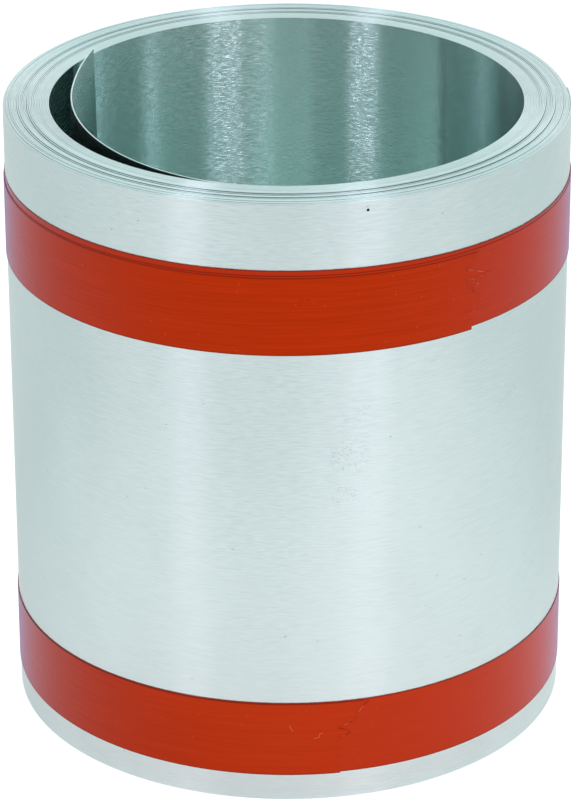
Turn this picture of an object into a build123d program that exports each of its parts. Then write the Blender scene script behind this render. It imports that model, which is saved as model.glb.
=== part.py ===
from build123d import *
import math
import os

# Roll of steel flashing standing on its end: a wound strip and two bands of tape.
# Lengths are in mm. Angles are in degrees round the roll's axis, from the front (-Y)
# towards the right (+X). The roll stands on z = 0.

# Strip
STRIP_WIDTH = 203.2  # 8 in, the height of the roll
STRIP_LENGTH = 15240.0  # 50 ft
SHEET_THICKNESS = 0.475  # 28 gauge with its zinc coat
TURN_GAP = 0.037  # air left between two turns
BORE_DIAMETER = 149.5

# Groups of turns that show on the ends, from the bore outwards
GROUP_WIDTH_SHARES = (0.13, 0.22, 0.12, 0.22, 0.18, 0.13)
GROUP_RISE = 0.4  # the most that one group stands out past the lowest one
GROUP_RISE_SHARES = (0.0, 0.6, 0.0, 1.0, 0.0, 0.45)
EDGE_ROUND = 0.12  # rounding of a slit edge, which leaves a groove between two groups
GROOVE_DEPTH = 0.3

# Sprung inner end of the strip
TAIL_ROOT_ANGLE = -18.8
TAIL_BELLY_ANGLE = -92.1
TAIL_END_ANGLE = -126.0
TAIL_BELLY_GAP = 6.73  # bore wall to the middle of the sheet where it stands widest
TAIL_END_GAP = 0.3  # clear space left between the end and the bore wall
TAIL_LIFT = 4.08  # climb of the end above the roll

# Tape
TAPE_WIDTH = 25.4  # 1 in
FILM_THICKNESS = 0.13
TAPE_CLEARANCE = 0.1  # left between the strip and the tape on it
UPPER_TAPE_INSET = 21.2  # top end of the roll to the band's top edge
UPPER_TAPE_DRIFT = 1.2  # each layer lies this much lower than the one under it
UPPER_TAPE_LAYERS = 2  # layers all the way round, under the torn lap
UPPER_TAPE_END_ANGLE = 38.5
LOWER_TAPE_INSET = 9.05  # base of the roll to the band's lower edge
LOWER_TAPE_DRIFT = 0.3
LOWER_TAPE_LAYERS = 1
LOWER_TAPE_END_ANGLE = 11.0
LAP_ANGLE = 190.0  # length of the outermost layer, back from its torn end
TEAR_REACH = 10.0  # scale of the torn edge along the tape
# Torn edges: share of the width up from the lower edge, share of the reach along the tape
UPPER_TEAR_SHARES = (
    (0.00, 0.00),
    (0.36, 0.00),
    (0.35, 0.39),
    (0.44, 0.27),
    (0.50, 0.02),
    (0.53, -0.02),
    (0.58, 0.25),
    (0.65, -0.25),
    (0.66, 0.50),
    (0.68, 0.72),
    (0.70, 0.50),
    (0.77, 0.00),
    (0.81, -0.25),
    (0.87, -0.03),
    (0.97, 0.08),
    (1.00, 0.30),
)
LOWER_TEAR_SHARES = (
    (0.00, -0.09),
    (0.28, -0.12),
    (0.50, -0.11),
    (0.56, 0.20),
    (0.60, 0.11),
    (0.64, -0.19),
    (0.70, 0.20),
    (0.74, 0.45),
    (0.80, 0.39),
    (1.00, 0.82),
)

# Sizes that follow
BORE_RADIUS = BORE_DIAMETER / 2
TURN_PITCH = SHEET_THICKNESS + TURN_GAP
OUTER_RADIUS = math.sqrt(BORE_RADIUS**2 + STRIP_LENGTH * TURN_PITCH / math.pi)
WALL = OUTER_RADIUS - BORE_RADIUS
GROUP_RISES = [GROUP_RISE * share for share in GROUP_RISE_SHARES]
UPPER_TAPE_TOP = STRIP_WIDTH - UPPER_TAPE_INSET
LOWER_TAPE_TOP = LOWER_TAPE_INSET + TAPE_WIDTH + LOWER_TAPE_LAYERS * LOWER_TAPE_DRIFT
TAPE_RADIUS = OUTER_RADIUS + TAPE_CLEARANCE


def group_edges():
    """Radius of each boundary between groups, from the bore to the outside."""
    radii = [BORE_RADIUS]
    for share in GROUP_WIDTH_SHARES:
        radii.append(radii[-1] + WALL * share)
    return radii


def end_outline(level, inwards):
    """Points across one end, from the bore outwards; inwards points into the roll."""
    radii = group_edges()
    last = len(GROUP_RISES) - 1
    points = []
    for i, rise in enumerate(GROUP_RISES):
        land = level + rise
        if i == 0:
            points.append((radii[i], land + inwards * EDGE_ROUND))
        points.append((radii[i] + EDGE_ROUND, land))
        points.append((radii[i + 1] - EDGE_ROUND, land))
        if i == last:
            points.append((radii[i + 1], land + inwards * EDGE_ROUND))
        else:
            pair = (rise, GROUP_RISES[i + 1])
            deeper = max(pair) if inwards > 0 else min(pair)
            points.append((radii[i + 1], level + deeper + inwards * GROOVE_DEPTH))
    return points


def wound_ring():
    """The wound turns as one turned ring with the groups of turns on both ends."""
    top = end_outline(STRIP_WIDTH, -1)
    base = end_outline(0, 1)
    outline = [(radius, 0, z) for radius, z in top + base[::-1]]
    section = make_face(Polyline(*outline, close=True))
    return revolve(section, Axis.Z)


def plan_point(radius, angle):
    """Point in plan at an angle from the front towards the right."""
    turn = math.radians(angle)
    return Vector(radius * math.sin(turn), -radius * math.cos(turn), 0)


def tail():
    """The inner end of the strip, sprung clear of the bore and climbing towards its end."""
    root = plan_point(BORE_RADIUS + SHEET_THICKNESS, TAIL_ROOT_ANGLE)
    belly = plan_point(BORE_RADIUS - TAIL_BELLY_GAP, TAIL_BELLY_ANGLE)
    end = plan_point(BORE_RADIUS - SHEET_THICKNESS / 2 - TAIL_END_GAP, TAIL_END_ANGLE)
    to_root = plan_point(1, TAIL_BELLY_ANGLE + 90)
    run_in = TangentArc(belly, root, tangent=to_root)
    run_out = TangentArc(belly, end, tangent=-to_root)
    sheet = trace([run_in, run_out], SHEET_THICKNESS)
    blank = extrude(sheet, STRIP_WIDTH + 2 * TAIL_LIFT)

    # The edges climb in proportion to the distance from the bore's tangent at the root.
    hinge = plan_point(BORE_RADIUS, TAIL_ROOT_ANGLE)
    inward = plan_point(-1, TAIL_ROOT_ANGLE)
    slope = TAIL_LIFT / (end - hinge).dot(inward)
    climb = Vector(-slope * inward.X, -slope * inward.Y, 1)
    foot = hinge + Vector(0, 0, GROUP_RISES[0])
    head = foot + Vector(0, 0, STRIP_WIDTH)
    strip = split(blank, bisect_by=Plane(foot, z_dir=climb), keep=Keep.TOP)
    strip = split(strip, bisect_by=Plane(head, z_dir=climb), keep=Keep.BOTTOM)

    # The end is cut square to the climbing edge.
    run = run_out % 1
    along = Vector(run.X, run.Y, slope * run.dot(inward))
    corner = end + Vector(0, 0, GROUP_RISES[0] + TAIL_LIFT)
    return split(strip, bisect_by=Plane(corner, z_dir=along), keep=Keep.BOTTOM)


def film_layer(inner_radius, top_edge, arc):
    """One layer of film through an arc, ending at the front."""
    middle = Vector(inner_radius + FILM_THICKNESS / 2, 0, top_edge - TAPE_WIDTH / 2)
    section = Plane.XZ * Rectangle(FILM_THICKNESS, TAPE_WIDTH)
    layer = revolve(Pos(middle) * section, Axis.Z, arc)
    return Rot(0, 0, -90 - arc) * layer


def torn_lap(inner_radius, top_edge, tear_shares):
    """The outermost layer, torn across at the front."""
    spare = math.degrees(TEAR_REACH / inner_radius)
    lap = Rot(0, 0, spare) * film_layer(inner_radius, top_edge, LAP_ANGLE + spare)
    foot = top_edge - TAPE_WIDTH
    torn = [(TEAR_REACH * along, foot + TAPE_WIDTH * up) for up, along in tear_shares]
    beyond = [(2 * TEAR_REACH, top_edge), (2 * TEAR_REACH, foot)]
    waste = make_face(Polyline(*torn, *beyond, close=True))
    cutter = extrude(Plane.XZ * waste, 2 * inner_radius)
    return lap - cutter


def tape_band(top_edge, drift, layers, end_angle, tear_shares):
    """The full layers of tape and the torn lap over them."""
    lap_radius = TAPE_RADIUS + layers * FILM_THICKNESS
    lap_top = top_edge - layers * drift
    band = torn_lap(lap_radius, lap_top, tear_shares)
    for layer in range(layers):
        radius = TAPE_RADIUS + layer * FILM_THICKNESS
        band += film_layer(radius, top_edge - layer * drift, 360)
    return Rot(0, 0, end_angle) * band


def upper_tape():
    """The band near the top, with its layers drifting down."""
    return tape_band(
        UPPER_TAPE_TOP,
        UPPER_TAPE_DRIFT,
        UPPER_TAPE_LAYERS,
        UPPER_TAPE_END_ANGLE,
        UPPER_TEAR_SHARES,
    )


def lower_tape():
    """The band near the base, with its layers almost in line."""
    return tape_band(
        LOWER_TAPE_TOP,
        LOWER_TAPE_DRIFT,
        LOWER_TAPE_LAYERS,
        LOWER_TAPE_END_ANGLE,
        LOWER_TEAR_SHARES,
    )


parts = {
    "steel_coil": wound_ring() + tail(),
    "upper_tape": upper_tape(),
    "lower_tape": lower_tape(),
}

os.makedirs("parts", exist_ok=True)
for name, shape in parts.items():
    export_step(shape, f"parts/{name}.step")
    print(name, len(shape.solids()), "solid", round(shape.volume), "mm3", shape.bounding_box())
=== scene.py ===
# %% [markdown]
# # A roll of steel flashing
# The object is one long strip of bright galvanized sheet. It is wound into a roll that stands on its
# end, and two bands of orange-red tape hold it closed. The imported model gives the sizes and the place,
# and this lesson dresses it: the strip is cut flat and wound, as in the factory, and so is the tape.

# %% Load the frame
import bpy
import math
import random
from mathutils import Matrix, Vector


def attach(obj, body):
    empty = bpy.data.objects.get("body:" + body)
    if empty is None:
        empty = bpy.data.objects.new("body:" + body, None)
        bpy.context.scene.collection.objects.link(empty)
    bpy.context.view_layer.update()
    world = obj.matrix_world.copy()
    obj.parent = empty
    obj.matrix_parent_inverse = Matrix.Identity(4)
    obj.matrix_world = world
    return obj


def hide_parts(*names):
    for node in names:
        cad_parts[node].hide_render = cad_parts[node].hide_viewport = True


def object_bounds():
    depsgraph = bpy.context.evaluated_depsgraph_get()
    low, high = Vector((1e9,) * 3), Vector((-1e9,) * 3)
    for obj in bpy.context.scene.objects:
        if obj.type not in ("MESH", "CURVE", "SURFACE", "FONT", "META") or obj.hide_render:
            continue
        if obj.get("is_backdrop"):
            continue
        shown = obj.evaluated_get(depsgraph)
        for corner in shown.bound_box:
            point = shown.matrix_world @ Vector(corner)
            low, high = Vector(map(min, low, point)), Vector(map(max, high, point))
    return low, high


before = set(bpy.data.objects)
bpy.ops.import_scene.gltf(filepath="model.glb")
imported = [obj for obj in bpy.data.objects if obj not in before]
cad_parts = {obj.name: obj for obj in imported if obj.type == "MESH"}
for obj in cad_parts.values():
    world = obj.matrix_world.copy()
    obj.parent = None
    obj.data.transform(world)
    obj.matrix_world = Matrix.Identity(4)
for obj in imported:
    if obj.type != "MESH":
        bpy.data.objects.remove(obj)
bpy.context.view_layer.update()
bpy.ops.object.select_all(action="DESELECT")

# %% [markdown]
# ## Sizes
# A Blender scene is in metres, and a sheet is measured in millimetres, so one named unit keeps the
# numbers readable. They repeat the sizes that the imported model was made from. Angles go round the
# roll's axis in degrees, from the front, where the camera stands, towards the right.

# %% Name the sizes
MM = 0.001
STRIP_WIDTH = 203.2 * MM
SHEET = 0.46 * MM  # a shade under its gauge, which leaves air between the turns
BORE = 74.75 * MM  # radius of the bore
ROLL = 89.84 * MM  # radius of the roll's outer face
TAIL_ROOT = -18.8  # where the tail leaves the wall of the bore
TAIL_BELLY = -92.1  # where it stands widest from the wall
TAIL_END = -126.0
BELLY_GAP = 6.73 * MM
END_GAP = 0.3 * MM
TAIL_LIFT = 4.08 * MM  # climb of the tail's tip above the roll
OUTER_END = 97.0  # where the strip ends on the outside
STEPS = 160  # straight facets in one turn


def plan(radius, angle):
    """A point seen from above, at an angle from the front towards the right."""
    turn = math.radians(angle)
    return Vector((radius * math.sin(turn), -radius * math.cos(turn), 0.0))


def ease(t):
    """A soft step from 0 to 1."""
    t = min(max(t, 0.0), 1.0)
    return t * t * (3.0 - 2.0 * t)


print("wall of the roll:", round((ROLL - BORE) / MM, 2), "mm")

# %% [markdown]
# ## The line that the strip follows
# Seen from above, the strip is a single line: a sprung tail inside the bore, then about twenty-nine
# turns. A spiral isn't among Blender's primitives, and a stack of circles would have no ends, so the
# line is worked out point by point. The tail is two arcs that meet where it stands widest from the wall.

# %% Draw the tail's two arcs
TIP_FACETS = 24
ROOT_FACETS = 44


def arc(start, heading, end, count):
    """Points of the arc that leaves start along heading and goes through end."""
    chord = end - start
    bend = 2.0 * math.atan2(heading.cross(chord).z, heading.dot(chord))
    side = Vector((-heading.y, heading.x, 0.0))
    centre = start + side * (chord.length_squared / (2.0 * chord.dot(side)))
    arm = start - centre
    return [centre + Matrix.Rotation(bend * i / count, 3, "Z") @ arm for i in range(count + 1)]


belly = plan(BORE - BELLY_GAP, TAIL_BELLY)
tail_root = plan(BORE + SHEET / 2, TAIL_ROOT)
tail_end = plan(BORE - SHEET / 2 - END_GAP, TAIL_END)
to_root = plan(1.0, TAIL_BELLY + 90.0)
tail_line = arc(belly, -to_root, tail_end, TIP_FACETS)[:0:-1]
tail_line += arc(belly, to_root, tail_root, ROOT_FACETS)
print("tail:", len(tail_line), "points")

# %% [markdown]
# ## Turns that don't lie level
# On the end of the roll the turns gather in groups: a little gap opens between two groups, and one
# group stands slightly higher than the next. The strip can't jump, so its height and its gap change
# smoothly along the winding. A little seeded unevenness keeps the edges from looking machined.

# %% Choose the gaps and the levels
TURNS = 29.0 + (OUTER_END - TAIL_ROOT) / 360.0
GAPS = (14.0, 19.9, 25.0)  # turns out from the bore
GROUP_GAP = 0.06 * MM
LOOSE_GAP = 0.08 * MM  # how far the outermost end stands loose
LOOSE_SHARE = 0.13  # share of a turn in which it loosens
CLIMB_SHARE = 0.1  # share of a turn in which the outer turns climb over the step under them
CLIMB_TURNS = 20.0  # turns over which that climb grows
SPARE_AIR = ROLL - BORE - SHEET * (TURNS + 1.0) - GROUP_GAP * len(GAPS) - LOOSE_GAP
TIGHT_GAP = SPARE_AIR / TURNS
# Turns out from the bore, and how many millimetres the strip stands up there
LEVELS = (
    (0.0, 0.10), (6.2, 0.10), (7.6, 0.0), (8.9, 0.0), (12.2, 0.5), (13.2, 0.5), (14.6, 0.02),
    (15.9, 0.0), (18.6, 0.5), (19.2, 0.5), (20.6, 0.06), (24.2, 0.20), (25.6, 0.0), (26.8, 0.16),
    (27.8, 0.0), (30.0, 0.0))
UNEVEN_STEP = 0.45  # turns from one uneven place to the next
random.seed(7)
UNEVEN = [random.uniform(0.0, 0.05) for _ in range(80)]
print("turns:", round(TURNS, 2), "tight gap:", round(TIGHT_GAP / MM, 4), "mm")


# %% Wind the turns
def keyed(keys, place):
    """A value eased between (place, value) keys."""
    for (a, low), (b, high) in zip(keys, keys[1:]):
        if place <= b:
            break
    return low + (high - low) * ease((place - a) / (b - a))


def turn_radius(turn):
    """Radius of the middle of the sheet, a number of turns out from the bore."""
    radius = BORE + SHEET / 2 + (SHEET + TIGHT_GAP) * turn
    for start in GAPS:
        radius += GROUP_GAP * ease(turn - start + 0.5)
    past = (turn - TURNS) % 1.0
    climb = ease(past / CLIMB_SHARE) * (1.0 - past)
    radius += (SHEET + TIGHT_GAP) * climb * ease(turn / CLIMB_TURNS)
    return radius + LOOSE_GAP * ease((turn - TURNS) / LOOSE_SHARE + 1.0)


def turn_rise(turn):
    """Height of the strip's lower edge above the floor."""
    key = int(turn / UNEVEN_STEP)
    part = ease(turn / UNEVEN_STEP - key)
    rough = UNEVEN[key] + (UNEVEN[key + 1] - UNEVEN[key]) * part
    return (keyed(LEVELS, turn) + rough) * MM


print("outer face:", round((turn_radius(TURNS) + SHEET / 2) / MM, 2), "mm from the axis")

# %% [markdown]
# ## One line from end to end
# The tail and the turns join into one list of points. Where the tail leaves the wall, the sheet bends
# and doesn't crease, so the points near the root are averaged with their neighbours a few times. The
# tail climbs out of the roll in proportion to its distance from the wall where it starts.

# %% Join the tail and the turns
ROOT_ROUNDS = 12  # times that the bend at the root is averaged
line = [point.copy() for point in tail_line[:-1]]
hinge = plan(BORE, TAIL_ROOT)
inward = plan(-1.0, TAIL_ROOT)
slope = TAIL_LIFT / (tail_end - hinge).dot(inward)
rises = [slope * max((point - hinge).dot(inward), 0.0) + turn_rise(0.0) for point in line]
root_index = len(line)
for i in range(int(TURNS * STEPS) + 1):
    turn = i / STEPS
    line.append(plan(turn_radius(turn), TAIL_ROOT + 360.0 * turn))
    rises.append(turn_rise(turn))
bend = range(root_index - 7, root_index + 4)
for _ in range(ROOT_ROUNDS):
    averaged = [(line[i - 1] + line[i] * 2.0 + line[i + 1]) / 4.0 for i in bend]
    for i, point in zip(bend, averaged):
        line[i] = point
lowest = min(rises)
rises = [rise - lowest for rise in rises]
strip_length = sum((b - a).length for a, b in zip(line, line[1:]))
print("strip:", round(strip_length, 3), "m long in", len(line), "points")

# %% [markdown]
# ## Cutting the strip flat
# A sheet could be extruded straight up from the line, but its rounded slit edges and square-cut ends
# are simplest while it is flat. So a grid is added at the strip's size, standing on its long edge, a
# Solidify modifier gives it the sheet's thickness and a Bevel modifier takes the corners off its edges.

# %% Cut the strip flat
EDGE_EASE = 0.15 * MM
EDGE_FACETS = 3


def flat_ribbon(name, length, width, thickness, columns, rows):
    """A straight ribbon that stands on its edge along X, from the origin."""
    bpy.ops.object.select_all(action="DESELECT")
    bpy.ops.mesh.primitive_grid_add(
        x_subdivisions=columns, y_subdivisions=rows, size=1.0,
        location=(length / 2, 0.0, width / 2), rotation=(math.pi / 2, 0.0, 0.0))
    ribbon = bpy.context.object
    ribbon.name = name
    ribbon.scale = (length, width, 1.0)
    bpy.ops.object.transform_apply(location=True, rotation=True, scale=True)
    thicken = ribbon.modifiers.new("thickness", "SOLIDIFY")
    thicken.thickness = thickness
    thicken.offset = 0.0
    bpy.ops.object.modifier_apply(modifier=thicken.name)
    return ribbon


def ease_edges(ribbon, width, segments):
    """Takes the square corners off the ribbon's edges."""
    corner = ribbon.modifiers.new("eased edges", "BEVEL")
    corner.width = width
    corner.segments = segments
    corner.limit_method = "ANGLE"
    corner.angle_limit = math.radians(60.0)
    bpy.ops.object.modifier_apply(modifier=corner.name)


strip_columns = len(line) - 1
strip = flat_ribbon("coiled_strip", strip_length, STRIP_WIDTH, SHEET, strip_columns, 1)
ease_edges(strip, EDGE_EASE, EDGE_FACETS)
print("flat strip:", len(strip.data.vertices), "vertices,", len(strip.data.polygons), "faces")

# %% [markdown]
# ## Which side shows what
# The same steel has a different finish on the outside, in the bore and on its slit edges, and the
# bore's darker, greener tone is partly painted shade. Between the turns and in the narrow gap behind
# the tail it is painted darker still, as painted shade. On the wound roll those faces are hard to pick
# out. On the flat strip the distance along it and the side tell them apart, so they are noted down now.

# %% Note the finish of each face
# BETWEEN and GAP faces get painted shade, and INNER faces a tone that is partly painted shade.
OUTER, INNER, SLIT, BETWEEN, GAP = range(5)
SLIT_BAND = 0.16 * MM  # width of the eased edge, with a hair to spare
GAP_STOP = 12.0  # degrees before the tail's end where the gap behind it closes
one_turn = strip_length * STEPS / strip_columns
tail_run = strip_length * root_index / strip_columns
bore_end = tail_run + one_turn
gap_start = bore_end - one_turn * (TAIL_ROOT - TAIL_END - GAP_STOP) / 360.0


def finish_of(face):
    """Which finish a face of the flat strip will show."""
    place = face.center
    if min(place.z, STRIP_WIDTH - place.z) < SLIT_BAND or abs(face.normal.x) > 0.5:
        return SLIT
    if place.y > 0.0 and place.x < gap_start:
        return INNER
    if place.x < (tail_run if place.y < 0.0 else bore_end):
        return GAP
    if place.y < 0.0 and place.x > strip_length - one_turn:
        return OUTER
    return BETWEEN


face_finishes = [finish_of(face) for face in strip.data.polygons]
print("faces of each finish:", [face_finishes.count(kind) for kind in range(5)])

# %% [markdown]
# ## Winding
# A Curve modifier could bend the flat strip, but it loses the hair's breadth between the turns. Here
# every vertex is carried to its place on the line: along it by its distance from the end, out from it
# by its side of the sheet, and up by its height. On the tail the strip runs uphill, so what was square
# to the edge leans with it.


# %% Wind a flat ribbon along a line
def wind(ribbon, length, line, rises, lean=0.0, lean_columns=0):
    """Carries each vertex of a flat ribbon onto the line."""
    last = len(line) - 1
    ahead = [line[min(i + 1, last)] - line[max(i - 1, 0)] for i in range(last + 1)]
    outward = [Vector((d.y, -d.x, 0.0)).normalized() for d in ahead]
    step = [(line[min(i + 1, last)] - line[min(i, last - 1)]).length for i in range(last + 1)]
    for vertex in ribbon.data.vertices:
        along = vertex.co.x / length * last
        if along < lean_columns:
            share = 1.0 - along / lean_columns
            along += vertex.co.z * lean * ease(share * 1.5) / step[int(max(along, 0.0))]
        i = min(max(int(along), 0), last - 1)
        f = along - i
        point = line[i].lerp(line[i + 1], f) + outward[i].lerp(outward[i + 1], f) * -vertex.co.y
        rise = rises[i] + (rises[i + 1] - rises[i]) * f
        vertex.co = (point.x, point.y, vertex.co.z + rise)
    ribbon.data.update()


print("one facet of the strip:", round(one_turn / STEPS / MM, 2), "mm on average")

# %% Wind the strip
SHARP_ANGLE = 10.0  # degrees between two faces that stay a corner


def outward_and_smooth(piece):
    """Turns every face outwards, and shades the round smooth and the corners sharp."""
    bpy.ops.object.select_all(action="DESELECT")
    piece.select_set(True)
    bpy.context.view_layer.objects.active = piece
    bpy.ops.object.mode_set(mode="EDIT")
    bpy.ops.mesh.select_all(action="SELECT")
    bpy.ops.mesh.normals_make_consistent(inside=False)
    bpy.ops.object.mode_set(mode="OBJECT")
    bpy.ops.object.shade_smooth_by_angle(angle=math.radians(SHARP_ANGLE))


wind(strip, strip_length, line, rises, slope, root_index)
outward_and_smooth(strip)
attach(strip, "root")
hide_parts("steel_coil")
print("wound strip:", [round(v / MM, 1) for v in strip.dimensions], "mm")

# %% [markdown]
# ## Tape
# The tape is thin film, wound round and round with each layer a little lower than the one under it, and
# torn off by hand. It lies on the strip, bridges the step where the strip ends, and grows by its own
# thickness every turn. It is cut flat as well, because a torn edge is easy to cut from a flat ribbon.

# %% Find the line that the tape follows
TAPE_WIDTH = 25.4 * MM
FILM = 0.13 * MM
UNDER_TAPE = 0.03 * MM  # air between the strip and the tape
SPARE = 7.0  # degrees of tape past the torn end, to be torn away
BRIDGE = 9.0  # degrees in which the tape bridges the strip's end


def roll_face(angle):
    """Radius of the roll's outer face, with the strip's end bridged."""
    past = (angle - OUTER_END) % 360.0
    face = turn_radius(TURNS - 1.0 + past / 360.0) + SHEET / 2
    bridge = turn_radius(TURNS) + SHEET / 2
    return face + (bridge - face) * max(1.0 - past / BRIDGE, 0.0)


def tape_line(end_angle, laps):
    """Points of the tape's middle, from its hidden start to past its torn end."""
    count = int((laps * 360.0 + SPARE) / 360.0 * STEPS)
    points = []
    for i in range(count + 1):
        angle = end_angle + SPARE - 360.0 * (count - i) / STEPS
        points.append(plan(roll_face(angle) + UNDER_TAPE + FILM * (0.5 + i / STEPS), angle))
    return points


def drift(keys, points):
    """Height of the tape's lower edge at each point, from (turns before the torn end, mm) keys."""
    last = len(points) - 1
    return [keyed(keys, SPARE / 360.0 - (last - i) / STEPS) * MM for i in range(last + 1)]


print("roll face at the front:", round(roll_face(0.0) / MM, 2), "mm")

# %% [markdown]
# ## Tearing the end
# The torn end is drawn as its outline: one vertex is extruded from tooth to tooth, closed to a face and
# extruded through the film, and a Boolean modifier cuts it away. Displacing the edge with noise would
# be quicker, but these teeth and their one long tongue can be seen, so they are placed one by one.

# %% Tear a ribbon's end
TEAR_REACH = 10.0 * MM


def waste_block(end, shares):
    """A block beyond the torn edge, drawn from the bottom up: share of width, share of reach."""
    torn = [Vector((end + TEAR_REACH * along, 0.0, TAPE_WIDTH * up)) for up, along in shares]
    torn[0].z -= TAPE_WIDTH / 10
    torn[-1].z += TAPE_WIDTH / 10
    far = end + TEAR_REACH * 3
    torn += [Vector((far, 0.0, torn[-1].z)), Vector((far, 0.0, torn[0].z))]
    bpy.ops.object.select_all(action="DESELECT")
    bpy.ops.mesh.primitive_plane_add(size=FILM, location=torn[0] + Vector((0.0, FILM * 4, 0.0)))
    bpy.ops.object.transform_apply(location=True, rotation=True, scale=True)
    bpy.ops.object.mode_set(mode="EDIT")
    bpy.ops.mesh.select_all(action="SELECT")
    bpy.ops.mesh.merge(type="CENTER")
    for a, b in zip(torn, torn[1:]):
        bpy.ops.mesh.extrude_region_move(TRANSFORM_OT_translate={"value": b - a})
    bpy.ops.mesh.select_all(action="SELECT")
    bpy.ops.mesh.edge_face_add()
    bpy.ops.mesh.extrude_region_move(TRANSFORM_OT_translate={"value": (0.0, -FILM * 8, 0.0)})
    bpy.ops.mesh.select_all(action="SELECT")
    bpy.ops.mesh.normals_make_consistent(inside=False)
    bpy.ops.object.mode_set(mode="OBJECT")
    return bpy.context.object


def tear(ribbon, end, shares):
    """Cuts the torn edge with the waste block and throws the block away."""
    waste = waste_block(end, shares)
    cut = ribbon.modifiers.new("tear", "BOOLEAN")
    cut.operation = "DIFFERENCE"
    cut.object = waste
    bpy.ops.object.select_all(action="DESELECT")
    ribbon.select_set(True)
    bpy.context.view_layer.objects.active = ribbon
    bpy.ops.object.modifier_apply(modifier=cut.name)
    bpy.data.objects.remove(waste)


print("teeth reach about", round(TEAR_REACH / MM, 1), "mm along the tape")

# %% [markdown]
# ## Lips and creases
# Tearing stretches the film, so a thin lip runs along the torn edge, whitened in places and dark in
# others with painted shadow, and the film also has a few pinched creases. A bump would do from afar,
# but the lip stands proud, so each one is a chain of thin bars laid on the flat film. The bars are cut
# across several times, so that they bend with it.

# %% Lay lips on a ribbon
LIP_WIDTH = 0.22 * MM
LIP_DEPTH = 0.06 * MM
LIP_CUTS = 3


def bar(a, b):
    """A thin bar on the flat film's outer face, from one (along, up) point to another."""
    run = math.hypot(b[0] - a[0], b[1] - a[1])
    turn = math.atan2(b[1] - a[1], b[0] - a[0])
    middle = ((a[0] + b[0]) / 2, -FILM / 2, (a[1] + b[1]) / 2)
    bpy.ops.mesh.primitive_cube_add(size=1.0, location=middle, rotation=(0.0, -turn, 0.0))
    piece = bpy.context.object
    piece.scale = (run + LIP_WIDTH / 2, LIP_DEPTH, LIP_WIDTH)
    bpy.ops.object.transform_apply(location=True, rotation=True, scale=True)
    return piece


def join(pieces):
    """Joins pieces to the first of them."""
    bpy.ops.object.select_all(action="DESELECT")
    for piece in pieces:
        piece.select_set(True)
    bpy.context.view_layer.objects.active = pieces[0]
    bpy.ops.object.join()


def add_lips(ribbon, lines):
    """Joins a chain of bars to the ribbon along each line, and marks their faces."""
    bars = [bar(a, b) for line in lines for a, b in zip(line, line[1:])]
    join(bars)
    bpy.ops.object.mode_set(mode="EDIT")
    bpy.ops.mesh.select_all(action="SELECT")
    bpy.ops.mesh.subdivide(number_cuts=LIP_CUTS)
    bpy.ops.object.mode_set(mode="OBJECT")
    mark = bars[0].data.attributes.new("lip", "INT", "FACE")
    mark.data.foreach_set("value", [1] * len(mark.data))
    join([ribbon, bars[0]])


print("lips:", round(LIP_WIDTH / MM, 2), "by", round(LIP_DEPTH / MM, 2), "mm")

# %% [markdown]
# ## The two bands
# Both bands are made by the same steps: a flat ribbon of film, its end torn, then wound. Only the
# lengths, the heights and the teeth differ. Before it is wound, every vertex notes how far across and
# along the tape it lies, because the film's finish needs both.

# %% Make a band
TAPE_ROWS = 6


def note(piece, name, values):
    """Writes down one number for each vertex."""
    numbers = piece.data.attributes.new(name, "FLOAT", "POINT")
    numbers.data.foreach_set("value", values)


def band(name, node, end_angle, laps, keys, shares, creases):
    """A flat ribbon of film, torn at its end and wound round the roll."""
    points = tape_line(end_angle, laps)
    heights = drift(keys, points)
    columns = len(points) - 1
    around = math.tau * ROLL
    length = columns * around / STEPS
    ribbon = flat_ribbon(name, length, TAPE_WIDTH, FILM, columns, TAPE_ROWS)
    end = length - SPARE / 360.0 * around
    tear(ribbon, end, shares)
    note(ribbon, "across", [vertex.co.z / TAPE_WIDTH for vertex in ribbon.data.vertices])
    note(ribbon, "along", [(vertex.co.x - end) / around for vertex in ribbon.data.vertices])
    ragged = shares[2:]
    lines = [[(end + TEAR_REACH * along, TAPE_WIDTH * up) for up, along in ragged]]
    lines += [[(end + along * MM, up * MM) for along, up in crease] for crease in creases]
    add_lips(ribbon, lines)
    wind(ribbon, length, points, heights)
    outward_and_smooth(ribbon)
    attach(ribbon, "root")
    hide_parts(node)
    print(name, ":", round(length, 2), "m of tape,", len(ribbon.data.polygons), "faces")
    return ribbon


print("one row of the tape:", round(TAPE_WIDTH / TAPE_ROWS / MM, 2), "mm")

# %% [markdown]
# ## The upper band
# It has two and a half turns, and each lies more than a millimetre lower than the one under it, so the
# edges of three layers show. Its torn end has a row of teeth and one long tongue. A single crease was
# pinched into it left of the middle.

# %% Make the upper band
# Torn edge from the bottom up: share of the width, share of the reach
UPPER_TEAR = (
    (0.00, 0.00), (0.36, 0.00), (0.35, 0.39), (0.44, 0.27), (0.50, 0.02), (0.53, -0.02),
    (0.58, 0.25), (0.65, -0.25), (0.66, 0.50), (0.68, 0.72), (0.70, 0.50), (0.77, 0.00),
    (0.81, -0.25), (0.87, -0.03), (0.97, 0.08), (1.00, 0.30))
UPPER_DRIFT = (
    (-2.6, 156.8), (-2.27, 156.75), (-2.1, 156.6), (-1.93, 156.3), (-1.27, 154.8), (-1.1, 155.0),
    (-0.93, 155.3), (-0.27, 154.35), (-0.1, 154.3), (0.1, 154.2))
# Creases: millimetres along the tape from its torn end, and up from its lower edge
UPPER_CREASES = ((
    (-57.1, 16.4), (-56.8, 17.2), (-56.5, 18.1), (-56.0, 18.6), (-55.2, 18.5), (-54.0, 18.4),
    (-53.2, 18.2), (-52.3, 17.1)),)
upper_band = band("upper_band", "upper_tape", 38.5, 2.53, UPPER_DRIFT, UPPER_TEAR, UPPER_CREASES)

# %% [markdown]
# ## The lower band
# It has one and a half turns, almost in line. Its tear runs straight for half the width and then
# wanders, and two short creases lie beside it.

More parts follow.
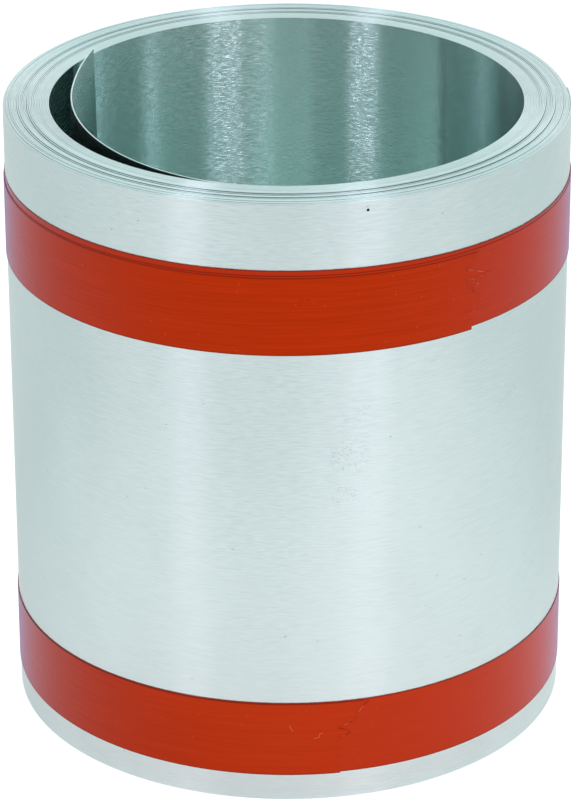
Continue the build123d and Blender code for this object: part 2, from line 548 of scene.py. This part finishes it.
# %% Make the lower band
LOWER_TEAR = (
    (0.00, -0.09), (0.28, -0.12), (0.50, -0.11), (0.56, 0.20), (0.60, 0.11), (0.64, -0.19),
    (0.70, 0.20), (0.74, 0.45), (0.80, 0.39), (1.00, 0.82))
LOWER_DRIFT = ((-1.6, 9.25), (-1.0, 9.4), (-0.9, 9.4), (-0.3, 9.1), (0.1, 9.05))
LOWER_CREASES = (
    ((-9.7, 12.9), (-7.9, 13.3), (-7.5, 14.7), (-6.6, 14.9)),
    ((-17.1, 18.0), (-16.6, 16.6), (-16.0, 15.8)))
lower_band = band("lower_band", "lower_tape", 11.0, 1.53, LOWER_DRIFT, LOWER_TEAR, LOWER_CREASES)

# %% [markdown]
# ## Helpers for finishes
# A finish is a net of nodes. By hand each node is added, set and linked, and in code the same three
# moves come back again and again, so each common group of nodes gets a short helper. All patterns read
# the piece's own coordinates, so they stay on the steel and the film from every side.


# %% Add and mix nodes
def add(tree, kind, **values):
    """A node with some of its properties and sockets set."""
    node = tree.nodes.new(kind)
    for key, value in values.items():
        if key in node.inputs:
            node.inputs[key].default_value = value
        else:
            setattr(node, key, value)
    return node


def new_finish(name):
    """An empty material with its shader and its node tree."""
    finish = bpy.data.materials.new(name)
    finish.use_nodes = True
    return finish, finish.node_tree, finish.node_tree.nodes["Principled BSDF"]


def calculate(tree, operation, first, second):
    """One sum on two values."""
    node = add(tree, "ShaderNodeMath", operation=operation)
    tree.links.new(first, node.inputs[0])
    tree.links.new(second, node.inputs[1])
    return node.outputs["Value"]


def spread(tree, source, low, high, to_low, to_high):
    """Maps a range of one value onto another range."""
    node = add(tree, "ShaderNodeMapRange")
    for socket, value in zip(list(node.inputs)[1:5], (low, high, to_low, to_high)):
        socket.default_value = value
    tree.links.new(source, node.inputs["Value"])
    return node.outputs["Result"]


def below(tree, source, limit):
    """1 where a value is under a limit, and 0 elsewhere."""
    node = add(tree, "ShaderNodeMath", operation="LESS_THAN")
    node.inputs[1].default_value = limit
    tree.links.new(source, node.inputs[0])
    return node.outputs["Value"]


def mean(tree, first, second):
    """The mean of two values."""
    half = add(tree, "ShaderNodeMath", operation="MULTIPLY")
    half.inputs[1].default_value = 0.5
    tree.links.new(calculate(tree, "ADD", first, second), half.inputs[0])
    return half.outputs["Value"]


def tint(tree, source, *stops):
    """A colour for each place on a value's scale."""
    node = add(tree, "ShaderNodeValToRGB")
    ramp = node.color_ramp.elements
    while len(ramp) < len(stops):
        ramp.new(0.5)
    for element, (place, colour) in zip(ramp, stops):
        element.position = place
        element.color = (*colour, 1.0)
    tree.links.new(source, node.inputs["Fac"])
    return node.outputs["Color"]


def overlay(tree, share, under, over):
    """One colour with a share of another one over it."""
    node = add(tree, "ShaderNodeMix", data_type="RGBA")
    tree.links.new(share, node.inputs[0])
    tree.links.new(under, node.inputs[6])
    node.inputs[7].default_value = (*over, 1.0)
    return node.outputs[2]


print("materials before the first finish:", len(bpy.data.materials))


# %% Scatter patterns on a piece
def own_place(tree):
    """Where a point lies on its own piece."""
    return add(tree, "ShaderNodeTexCoord").outputs["Object"]


def streaks(tree, scale, detail):
    """Noise stretched by a scale on each axis."""
    fit = add(tree, "ShaderNodeMapping", Scale=scale)
    noise = add(tree, "ShaderNodeTexNoise", Scale=1.0, Detail=detail, Roughness=0.6)
    tree.links.new(own_place(tree), fit.inputs["Vector"])
    tree.links.new(fit.outputs["Vector"], noise.inputs["Vector"])
    return noise.outputs["Fac"]


def dots(tree, scale):
    """Distance to the nearest of many scattered points, in shares of their spacing."""
    points = add(tree, "ShaderNodeTexVoronoi", Scale=scale)
    tree.links.new(own_place(tree), points.inputs["Vector"])
    return points.outputs["Distance"]


def distance(tree, place, centre):
    """Distance of a place from a centre, in metres."""
    away = add(tree, "ShaderNodeVectorMath", operation="DISTANCE")
    away.inputs[1].default_value = [value * MM for value in centre]
    tree.links.new(place, away.inputs[0])
    return away.outputs["Value"]


print("origins of the pieces:", [piece.location[:] for piece in (strip, upper_band, lower_band)])

# %% [markdown]
# ## Flecks and pits
# Rolling leaves short flecks along the sheet that lie at slightly different slopes, so some of them
# flash in a lamp's reflection and the rest stay calm. A bump map would tilt them every way and blur the
# upright highlights, so the surface's normal is rocked up and down only. The outside also has a few
# patches of small dark pits and one deep pit near the top.

# %% Rock the surface and pit it
PIT_COLOUR = (0.25, 0.3, 0.3)
DEEP_PIT_COLOUR = (0.02, 0.025, 0.025)
PIT_SCALE = 1500.0
STRAY_SCALE = 150.0
STRAY_SIZE = 0.03
# Centre and reach in millimetres, size of the pits in shares of their spacing, and colour
PITTED_PATCHES = (
    ((19.2, -87.7, 120.0), 9.0, 0.2, PIT_COLOUR), ((20.7, -87.4, 134.0), 7.0, 0.17, PIT_COLOUR),
    ((67.8, -58.9, 125.0), 9.0, 0.16, PIT_COLOUR), ((17.0, -88.1, 106.0), 6.0, 0.17, PIT_COLOUR),
    ((24.0, -86.5, 200.2), 0.55, 1.2, DEEP_PIT_COLOUR))


def rocked(tree, flecks, sway):
    """The surface's own normal, rocked up and down by the flecks."""
    face = add(tree, "ShaderNodeNewGeometry")
    lift = add(tree, "ShaderNodeCombineXYZ")
    both = add(tree, "ShaderNodeVectorMath", operation="ADD")
    unit = add(tree, "ShaderNodeVectorMath", operation="NORMALIZE")
    tree.links.new(spread(tree, flecks, *sway), lift.inputs["Z"])
    tree.links.new(face.outputs["Normal"], both.inputs[0])
    tree.links.new(lift.outputs["Vector"], both.inputs[1])
    tree.links.new(both.outputs["Vector"], unit.inputs[0])
    return unit.outputs["Vector"]


def patch(tree, centre, reach, size):
    """A size at the centre of a patch that shrinks to nothing at its reach."""
    away = distance(tree, own_place(tree), centre)
    return spread(tree, away, reach * MM * 0.6, reach * MM, size, 0.0)


def pitted(tree, colour):
    """Dark pits in a few patches of the steel, and a few stray ones."""
    fine = dots(tree, PIT_SCALE)
    for centre, reach, size, shade in PITTED_PATCHES:
        inside = calculate(tree, "LESS_THAN", fine, patch(tree, centre, reach, size))
        colour = overlay(tree, inside, colour, shade)
    return overlay(tree, below(tree, dots(tree, STRAY_SCALE), STRAY_SIZE), colour, PIT_COLOUR)


print("pitted patches:", len(PITTED_PATCHES))

# %% [markdown]
# ## Galvanized steel
# The strip is bright zinc with a cool tint. Its mill grain runs along the strip, so a reflection
# smears up and down and stays narrow from side to side: the shader's anisotropy does that, turned to
# follow the roll. Noise stretched along the strip adds dashes, and a broad noise adds cloudiness. The
# five finishes differ in tone and flecks: the bore's flecks are few and steep, which leaves it calm
# between the lamps' bands, and the outside's are long and gentle. The bore's darker, greener tone is
# partly painted shade, and the dark tones between the turns and behind the tail are painted shade.

# %% Make the steel finishes
CLOUDS = (14.0, 14.0, 9.0)
DASHES = (170.0, 170.0, 2700.0)
FINE = (480.0, 480.0, 8000.0)
COARSE = (280.0, 280.0, 3400.0)
# Range of the noise, and the slopes that it gives
EVEN = (0.2, 0.8, -0.03, 0.03)
STRONG = (0.2, 0.8, -0.1, 0.1)
SPARSE = (0.405, 0.78, 0.0, 0.44)
ALONG_THE_STRIP = 0.25  # a quarter turn of the shader's anisotropy


def steel_finish(name, dark, light, rough, change, smear, sway, fleck):
    """Zinc with clouds and dashes in its colour, and flecks along the strip that catch the light."""
    finish, tree, shader = new_finish(name)
    dashes = streaks(tree, DASHES, 1.0)
    mottle = mean(tree, streaks(tree, CLOUDS, 3.0), dashes)
    colour = tint(tree, mottle, (0.4, dark), (0.6, light))
    if name == "outer_steel":
        colour = pitted(tree, colour)
    roughness = spread(tree, dashes, 0.3, 0.7, rough - change, rough + change)
    normal = rocked(tree, streaks(tree, fleck, 1.0), sway)
    around = add(tree, "ShaderNodeTangent", direction_type="RADIAL", axis="Z")
    shader.inputs["Metallic"].default_value = 1.0
    shader.inputs["Anisotropic"].default_value = smear
    shader.inputs["Anisotropic Rotation"].default_value = ALONG_THE_STRIP
    tree.links.new(colour, shader.inputs["Base Color"])
    tree.links.new(roughness, shader.inputs["Roughness"])
    tree.links.new(normal, shader.inputs["Normal"])
    tree.links.new(around.outputs["Tangent"], shader.inputs["Tangent"])
    return finish


# Name, darkest and lightest tone, roughness and its change, smear, slopes and scale of the flecks
STEEL_FINISHES = (
    ("outer_steel", (0.775, 0.848, 0.843), (0.861, 0.934, 0.929), 0.245, 0.02, 1.0, STRONG, COARSE),
    # The bore's darker, greener tone is partly painted shade; its flecks and roughness are its own.
    ("bore_steel", (0.575, 0.772, 0.745), (0.59, 0.787, 0.76), 0.25, 0.004, 1.0, SPARSE, FINE),
    ("slit_edge", (0.74, 0.90, 0.905), (0.81, 0.96, 0.965), 0.30, 0.02, 1.0, EVEN, FINE),
    # Painted shade: the faces between the turns are darkened for the shade that falls between them.
    ("painted_shade_steel", (0.27, 0.36, 0.36), (0.33, 0.43, 0.43), 0.46, 0.02, 0.85, EVEN, FINE),
    # Painted shade: the narrow gap behind the tail is darkened for the deep shade in it.
    ("gap_painted_shade_steel", (0.12, 0.20, 0.19), (0.15, 0.24, 0.23), 0.28, 0.02, 0.9, EVEN, FINE))
strip.data.materials.clear()
for values in STEEL_FINISHES:
    strip.data.materials.append(steel_finish(*values))
for face, kind in zip(strip.data.polygons, face_finishes):
    face.material_index = kind
print("steel finishes:", [finish.name for finish in strip.data.materials])

# %% [markdown]
# ## Glossy film
# The tape is a deep orange-red film. Drawing the film leaves fine lines along it, which are noise that
# is stretched round the roll and packed close in height. Where the film turns away from the eye it
# pales towards lilac, which the shader's sheen gives. A thin painted shadow darkens its edges, specks
# shine in it, and the layer that comes out from under the torn end is a touch paler. The lower band's
# right half is painted paler as well, which is painted light.
# A plain red gloss would miss all of these.

# %% Colour the film
FILM_LINES = (40.0, 40.0, 2800.0)
DEEP_TONE = (0.63, 0.0315, 0.0014)
BRIGHT_TONE = (0.74, 0.0425, 0.0028)
UNDER_TONE = (0.71, 0.044, 0.018)
PAINTED_LIGHT_TONE = (0.95, 0.07, 0.018)
PAINTED_EDGE_SHADOW = (0.1, 0.012, 0.006)
EDGE_SHADOW_STOPS = ((0.0, 0.6), (0.009, 0.5), (0.016, 0.0), (0.984, 0.0), (0.991, 0.5), (1.0, 0.6))
SPECK_TONE = (0.8, 0.14, 0.06)
SPECK_SCALE = 270.0
SPECK_SIZE = 0.05

film, tree, shader = new_finish("orange_red_film")
lines = streaks(tree, FILM_LINES, 1.0)
colour = tint(tree, lines, (0.3, DEEP_TONE), (0.7, BRIGHT_TONE))
along = add(tree, "ShaderNodeAttribute", attribute_name="along").outputs["Fac"]
colour = overlay(tree, spread(tree, along, -1.0, -0.7, 0.4, 0.0), colour, UNDER_TONE)
place = add(tree, "ShaderNodeSeparateXYZ")
tree.links.new(own_place(tree), place.inputs["Vector"])
# Painted light: the lower band's right half is painted paler, standing in for light falling there.
lower = spread(tree, place.outputs["Z"], 0.03, 0.16, 0.35, 0.0)
to_right = spread(tree, place.outputs["X"], -0.08, 0.0, 0.0, 1.0)
colour = overlay(tree, calculate(tree, "MULTIPLY", lower, to_right), colour, PAINTED_LIGHT_TONE)
# Painted shadow: a thin dark line along both edges of the tape.
across = add(tree, "ShaderNodeAttribute", attribute_name="across").outputs["Fac"]
edges = tint(tree, across, *((stop, (share, share, share)) for stop, share in EDGE_SHADOW_STOPS))
colour = overlay(tree, edges, colour, PAINTED_EDGE_SHADOW)
colour = overlay(tree, below(tree, dots(tree, SPECK_SCALE), SPECK_SIZE), colour, SPECK_TONE)
print("film tones:", len(tree.nodes), "nodes")

# %% Gloss the film
LINE_DEPTH = 0.02 * MM
bump = add(tree, "ShaderNodeBump", Strength=0.3, Distance=LINE_DEPTH)
tree.links.new(lines, bump.inputs["Height"])
shader.inputs["Specular Tint"].default_value = (1.0, 0.18, 0.04, 1.0)
shader.inputs["Sheen Weight"].default_value = 0.6
shader.inputs["Sheen Roughness"].default_value = 0.3
shader.inputs["Sheen Tint"].default_value = (0.35, 0.3, 1.0, 1.0)
tree.links.new(colour, shader.inputs["Base Color"])
tree.links.new(spread(tree, lines, 0.3, 0.7, 0.16, 0.26), shader.inputs["Roughness"])
tree.links.new(bump.outputs["Normal"], shader.inputs["Normal"])
print(film.name, ":", len(tree.nodes), "nodes")

# %% [markdown]
# ## Stretched film with painted shadow
# Along a tear the film is drawn thin: it whitens where it stretched, and it is painted dark where its
# edge throws a shadow, which is painted shadow. One pale colour would outline the tear like ink, so a
# noise a few millimetres long goes from the dark painted shadow over the film's own tone to pale.

# %% Make the stretched film with its painted shadow and dress the bands
STRETCH_GRAIN = (350.0, 350.0, 350.0)
# The darkest stops are painted shadow along the tear; the palest is whitened, stretched film.
STRETCH_AND_SHADOW_STOPS = (
    (0.42, (0.36, 0.018, 0.004)), (0.48, (0.6, 0.034, 0.004)), (0.53, (0.62, 0.045, 0.012)),
    (0.61, (0.92, 0.2, 0.085)))

stretched, tree, shader = new_finish("stretched_film_painted_shadow")
grain = streaks(tree, STRETCH_GRAIN, 2.0)
shader.inputs["Specular Tint"].default_value = (1.0, 0.4, 0.2, 1.0)
tree.links.new(tint(tree, grain, *STRETCH_AND_SHADOW_STOPS), shader.inputs["Base Color"])
tree.links.new(spread(tree, grain, 0.3, 0.7, 0.3, 0.5), shader.inputs["Roughness"])
for piece in (upper_band, lower_band):
    piece.data.materials.clear()
    piece.data.materials.append(film)
    piece.data.materials.append(stretched)
    for face, mark in zip(piece.data.polygons, piece.data.attributes["lip"].data):
        face.material_index = mark.value
    print(piece.name, ":", [finish.name for finish in piece.data.materials])

# %% [markdown]
# ## The floor
# The roll stands on a plain pale floor that fills the frame. More lamp light would bleach the roll as
# well, so the floor glows for the camera's rays only. To bright steel the floor is also the largest
# thing that it mirrors: for glossy rays it has a pale pool in front of the roll and a darker spot
# further out, which shade the steel's front.

# %% Lay the floor
FLOOR_SIZE = 8.0
FLOOR_COLOUR = (0.74, 0.8, 0.795, 1.0)
CAMERA_GLOW = 0.7
POOL_CENTRE = (0.0, -220.0, 0.0)
POOL_SQUEEZE = (0.6, 1.0, 1.0)  # makes the pool wider than it is deep
SPOT_CENTRE = (0.0, -600.0, 0.0)

bpy.ops.mesh.primitive_plane_add(size=FLOOR_SIZE, location=(0.0, 0.0, 0.0))
floor = bpy.context.object
floor.name = "floor"
white, tree, shader = new_finish("white_floor")
squeeze = add(tree, "ShaderNodeMapping", Scale=POOL_SQUEEZE)
tree.links.new(own_place(tree), squeeze.inputs["Vector"])
reach = distance(tree, squeeze.outputs["Vector"], POOL_CENTRE)
pool = spread(tree, reach, 0.06, 0.36, 0.42, 0.18)
spot = spread(tree, distance(tree, own_place(tree), SPOT_CENTRE), 0.10, 0.35, 0.12, 0.0)
rays = add(tree, "ShaderNodeLightPath")
mirrored = calculate(tree, "SUBTRACT", pool, spot)
mirrored = calculate(tree, "MULTIPLY", mirrored, rays.outputs["Is Glossy Ray"])
glow = add(tree, "ShaderNodeMath", operation="MULTIPLY_ADD")
glow.inputs[1].default_value = CAMERA_GLOW
tree.links.new(rays.outputs["Is Camera Ray"], glow.inputs[0])
tree.links.new(mirrored, glow.inputs[2])
shader.inputs["Roughness"].default_value = 1.0
shader.inputs["Specular IOR Level"].default_value = 0.0
shader.inputs["Base Color"].default_value = FLOOR_COLOUR
shader.inputs["Emission Color"].default_value = (1.0, 1.0, 1.0, 1.0)
tree.links.new(glow.outputs["Value"], shader.inputs["Emission Strength"])
floor.data.materials.append(white)
floor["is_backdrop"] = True
print("floor:", floor.dimensions[:])

# %% [markdown]
# ## Light from all round
# The studio's light is soft. An even white world would do for the tape, but bright steel shows only
# what stands round it, and it would look flat. So the world's light follows the direction: a tone from
# the front to the back, more light from the right, less from straight above and from low in front, and
# a bright strip high behind, which the slit edges mirror as two bright patches.

# %% Light the room
# Place from the front to the back, brightness, and red as a share of it
ROOM_TONES = (
    (0.0, 0.69, 1.04), (0.2, 0.75, 1.02), (0.38, 0.70, 0.97), (0.5, 0.56, 0.87),
    (0.62, 0.54, 0.80), (0.78, 0.58, 0.80), (0.90, 0.88, 0.99))

world = bpy.data.worlds.new("studio")
bpy.context.scene.world = world
world.use_nodes = True
tree = world.node_tree
sky = tree.nodes["Background"]
way = add(tree, "ShaderNodeSeparateXYZ")
tree.links.new(add(tree, "ShaderNodeTexCoord").outputs["Generated"], way.inputs["Vector"])
to_right, to_back, to_top = (way.outputs[axis] for axis in "XYZ")

stops = ((stop, (value * red, value, value)) for stop, value, red in ROOM_TONES)
tones = tint(tree, spread(tree, to_back, -1.0, 1.0, 0.0, 1.0), *stops)
tree.links.new(tones, sky.inputs["Color"])

right = spread(tree, to_right, -1.0, 1.0, 0.63, 1.37)
above = spread(tree, to_top, 0.4, 1.0, 1.0, 0.6)
low = spread(tree, to_top, 0.33, 0.62, 0.55, 1.0)
behind = spread(tree, to_back, -0.6, 0.2, 0.0, 1.0)
level = calculate(tree, "MULTIPLY", right, above)
level = calculate(tree, "MULTIPLY", level, calculate(tree, "MAXIMUM", low, behind))

off = add(tree, "ShaderNodeMath", operation="ABSOLUTE")
tree.links.new(spread(tree, to_right, -1.0, 1.0, -0.83, 1.17), off.inputs[0])
high_strip = spread(tree, off.outputs["Value"], 0.25, 0.75, 1.02, 0.0)
high_strip = calculate(tree, "MULTIPLY", high_strip, spread(tree, to_back, -0.15, 0.15, 0.0, 1.0))
high_strip = calculate(tree, "MULTIPLY", high_strip, spread(tree, to_top, 0.42, 0.72, 0.0, 1.0))
tree.links.new(calculate(tree, "ADD", level, high_strip), sky.inputs["Strength"])
print("room light:", len(tree.nodes), "nodes")

# %% [markdown]
# ## Soft boxes
# Two soft boxes in front draw the upright highlights on the outside and, mirrored in the wall of the
# bore, the two glittering bands inside. A weaker one between them gives the calm band beside the left
# one. Spot lights would leave hard points, while an area lamp is drawn out to a band by the grain.

# %% Place the soft boxes
BOX_HEIGHT = 0.914
BOX_DISTANCE = 1.5
BOX_DEPTH = 0.35
BOX_TARGET = Vector((0.0, 0.0, 0.1))
BOX_COLOUR = (0.97, 0.85, 1.0)


def soft_box(name, angle, width, power):
    """A soft light at an angle round the roll, turned towards it."""
    place = plan(BOX_DISTANCE, angle) + Vector((0.0, 0.0, BOX_HEIGHT))
    aim = (BOX_TARGET - place).to_track_quat("-Z", "Y")
    bpy.ops.object.light_add(type="AREA", location=place, rotation=aim.to_euler())
    lamp = bpy.context.object
    lamp.name = name
    lamp.data.shape = "RECTANGLE"
    lamp.data.size, lamp.data.size_y = width, BOX_DEPTH
    lamp.data.energy = power
    lamp.data.color = BOX_COLOUR


soft_box("left_soft_box", -40.5, 0.38, 2.5)
soft_box("right_soft_box", 32.0, 0.46, 2.6)
soft_box("inner_soft_box", 14.0, 0.36, 0.6)

# %% [markdown]
# ## The camera
# A long lens looks down at the roll from well over a metre away, so the roll's sides stay nearly
# parallel. Its place, tilt and length were fitted to the roll's outlines. The camera could be aimed
# with a Track To constraint, but that leaves no room for its slight roll, so its axes are worked out.

# %% Set the camera
CAMERA_PLACE = (0.0, -1217.66 * MM, 662.79 * MM)
SENSOR = 36.0
FOCAL_PIXELS = 4108.06
FRAME_HEIGHT = 800.0  # pixels

pitch, yaw, roll = math.radians(24.887), math.radians(-0.038), math.radians(-0.203)
level_run = math.cos(pitch)
ahead = Vector((math.sin(yaw) * level_run, math.cos(yaw) * level_run, -math.sin(pitch)))
right = ahead.cross(Vector((0.0, 0.0, 1.0))).normalized()
up = right.cross(ahead)
tilted = right * math.cos(roll) + up * math.sin(roll)
upright = up * math.cos(roll) - right * math.sin(roll)
bpy.ops.object.camera_add(location=CAMERA_PLACE)
camera = bpy.context.object
camera.rotation_euler = Matrix((tilted, upright, -ahead)).transposed().to_euler()
camera.data.sensor_width = SENSOR
camera.data.lens = SENSOR * FOCAL_PIXELS / FRAME_HEIGHT
bpy.context.scene.camera = camera
bpy.context.scene.view_settings.view_transform = "Standard"
print("lens:", round(camera.data.lens, 1), "mm")

# %% [markdown]
# ## The size
# The dressed roll stays inside the imported model's box, and its own box is written down.

# %% Write the box and finish
low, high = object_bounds()
print("visual box:", [round(v, 4) for v in (*low, *high)])
